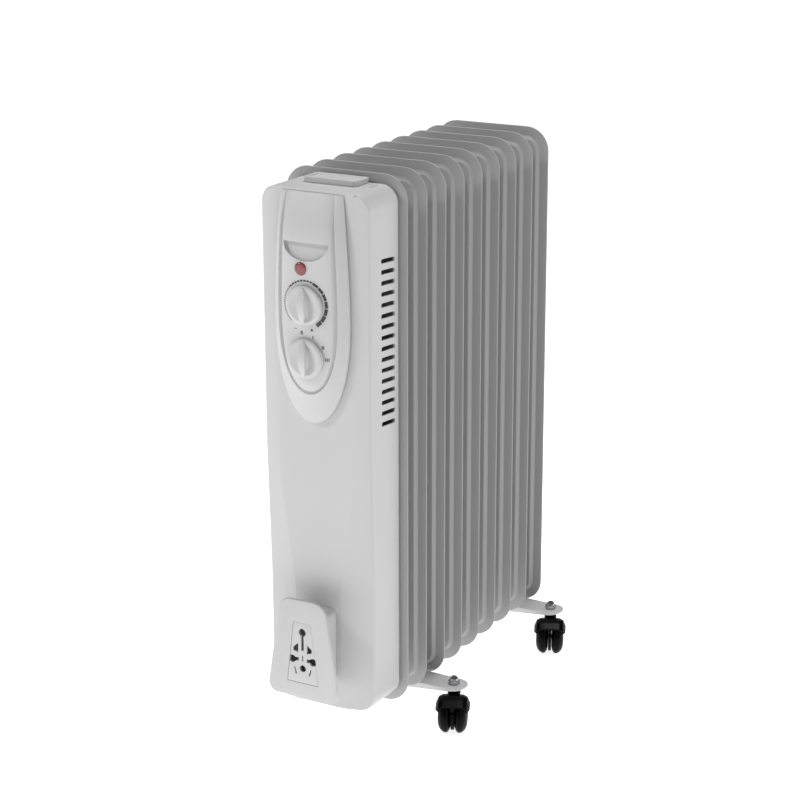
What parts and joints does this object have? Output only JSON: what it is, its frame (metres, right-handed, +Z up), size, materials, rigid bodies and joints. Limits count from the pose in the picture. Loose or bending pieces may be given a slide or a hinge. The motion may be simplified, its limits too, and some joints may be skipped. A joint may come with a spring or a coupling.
{
  "type": "oil filled radiator heater",
  "caption": "White finned oil radiator on twin-wheel castors, with a front casing, two rotary knobs, a lamp and a cord winder with a plug park.",
  "frame": {"origin": "on the floor under the middle of the whole object's box", "axes": "+Z up; -Y is the side with the controls; +X is the right hand as seen from there; the fins stand in a row along Y"},
  "size_m": [0.2438, 0.4256, 0.614],
  "materials": {
    "white_paint": "semi-gloss white powder coat",
    "white_plastic": "satin off-white moulding",
    "black_plastic": "glossy black moulding",
    "red_lens": "translucent red lens",
    "chrome": "bright plated",
    "zinc_steel": "zinc plated",
    "cream_plastic": "unpainted insulating plastic"
  },
  "bodies": {
    "root": {"fin_1": "white_paint", "fin_2": "white_paint", "fin_3": "white_paint", "fin_4": "white_paint", "fin_5": "white_paint", "fin_6": "white_paint", "fin_7": "white_paint", "fin_8": "white_paint", "fin_9": "white_paint", "oil_filler_plug": "zinc_steel", "element_flange": "zinc_steel", "heater_tube_1": "zinc_steel", "heater_tube_2": "zinc_steel", "control_casing": "white_plastic", "casing_back_plate": "zinc_steel", "top_pad": "white_plastic", "cable_gland": "black_plastic", "control_panel": "white_plastic", "thermostat": "cream_plastic", "power_switch": "black_plastic", "lamp_lens": "red_lens", "lamp_holder": "cream_plastic", "terminal_block": "cream_plastic", "thermal_cutout": "black_plastic", "cord_winder": "white_plastic", "plug_park": "white_plastic", "front_bracket": "white_paint", "front_hook_bolt": "zinc_steel", "front_wing_nut": "zinc_steel", "rear_bracket": "white_paint", "rear_hook_bolt": "zinc_steel", "rear_wing_nut": "zinc_steel", "front_left_castor_stem": "zinc_steel", "front_left_castor_cap_nut": "chrome", "front_right_castor_stem": "zinc_steel", "front_right_castor_cap_nut": "chrome", "rear_left_castor_stem": "zinc_steel", "rear_left_castor_cap_nut": "chrome", "rear_right_castor_stem": "zinc_steel", "rear_right_castor_cap_nut": "chrome"},
    "thermostat_dial": {"thermostat_knob": "white_plastic", "thermostat_shaft": "zinc_steel"},
    "switch_dial": {"switch_knob": "white_plastic", "switch_shaft": "zinc_steel"},
    "front_left_castor": {"front_left_castor_hood": "black_plastic", "front_left_castor_axle": "zinc_steel"},
    "front_left_castor_left_wheel": {"front_left_castor_left_wheel": "black_plastic"},
    "front_left_castor_right_wheel": {"front_left_castor_right_wheel": "black_plastic"},
    "front_right_castor": {"front_right_castor_hood": "black_plastic", "front_right_castor_axle": "zinc_steel"},
    "front_right_castor_left_wheel": {"front_right_castor_left_wheel": "black_plastic"},
    "front_right_castor_right_wheel": {"front_right_castor_right_wheel": "black_plastic"},
    "rear_left_castor": {"rear_left_castor_hood": "black_plastic", "rear_left_castor_axle": "zinc_steel"},
    "rear_left_castor_left_wheel": {"rear_left_castor_left_wheel": "black_plastic"},
    "rear_left_castor_right_wheel": {"rear_left_castor_right_wheel": "black_plastic"},
    "rear_right_castor": {"rear_right_castor_hood": "black_plastic", "rear_right_castor_axle": "zinc_steel"},
    "rear_right_castor_left_wheel": {"rear_right_castor_left_wheel": "black_plastic"},
    "rear_right_castor_right_wheel": {"rear_right_castor_right_wheel": "black_plastic"}
  },
  "joints": [
    {"name": "thermostat_turn", "type": "hinge", "parent": "root", "child": "thermostat_dial", "pos_m": [0, -0.19655, 0.4913], "axis": [0, 1, 0], "range_deg": [-140, 140]},
    {"name": "switch_turn", "type": "hinge", "parent": "root", "child": "switch_dial", "pos_m": [0, -0.19655, 0.437], "axis": [0, 1, 0], "range_deg": [0, 100]},
    {"name": "front_left_swivel", "type": "hinge", "parent": "root", "child": "front_left_castor", "pos_m": [-0.094, -0.055, 0.04], "axis": [0, 0, 1], "continuous": true},
    {"name": "front_left_outer_spin", "type": "hinge", "parent": "front_left_castor", "child": "front_left_castor_left_wheel", "pos_m": [-0.10091, -0.07053, 0.0195], "axis": [0.9135, -0.4067, 0], "continuous": true},
    {"name": "front_left_inner_spin", "type": "hinge", "parent": "front_left_castor", "child": "front_left_castor_right_wheel", "pos_m": [-0.10091, -0.07053, 0.0195], "axis": [0.9135, -0.4067, 0], "continuous": true},
    {"name": "front_right_swivel", "type": "hinge", "parent": "root", "child": "front_right_castor", "pos_m": [0.094, -0.055, 0.04], "axis": [0, 0, 1], "continuous": true},
    {"name": "front_right_inner_spin", "type": "hinge", "parent": "front_right_castor", "child": "front_right_castor_left_wheel", "pos_m": [0.10091, -0.07053, 0.0195], "axis": [0.9135, 0.4067, 0], "continuous": true},
    {"name": "front_right_outer_spin", "type": "hinge", "parent": "front_right_castor", "child": "front_right_castor_right_wheel", "pos_m": [0.10091, -0.07053, 0.0195], "axis": [0.9135, 0.4067, 0], "continuous": true},
    {"name": "rear_left_swivel", "type": "hinge", "parent": "root", "child": "rear_left_castor", "pos_m": [-0.094, 0.188, 0.04], "axis": [0, 0, 1], "continuous": true},
    {"name": "rear_left_outer_spin", "type": "hinge", "parent": "rear_left_castor", "child": "rear_left_castor_left_wheel", "pos_m": [-0.10091, 0.17247, 0.0195], "axis": [0.9135, -0.4067, 0], "continuous": true},
    {"name": "rear_left_inner_spin", "type": "hinge", "parent": "rear_left_castor", "child": "rear_left_castor_right_wheel", "pos_m": [-0.10091, 0.17247, 0.0195], "axis": [0.9135, -0.4067, 0], "continuous": true},
    {"name": "rear_right_swivel", "type": "hinge", "parent": "root", "child": "rear_right_castor", "pos_m": [0.094, 0.188, 0.04], "axis": [0, 0, 1], "continuous": true},
    {"name": "rear_right_inner_spin", "type": "hinge", "parent": "rear_right_castor", "child": "rear_right_castor_left_wheel", "pos_m": [0.10091, 0.17247, 0.0195], "axis": [0.9135, 0.4067, 0], "continuous": true},
    {"name": "rear_right_outer_spin", "type": "hinge", "parent": "rear_right_castor", "child": "rear_right_castor_right_wheel", "pos_m": [0.10091, 0.17247, 0.0195], "axis": [0.9135, 0.4067, 0], "continuous": true}
  ]
}
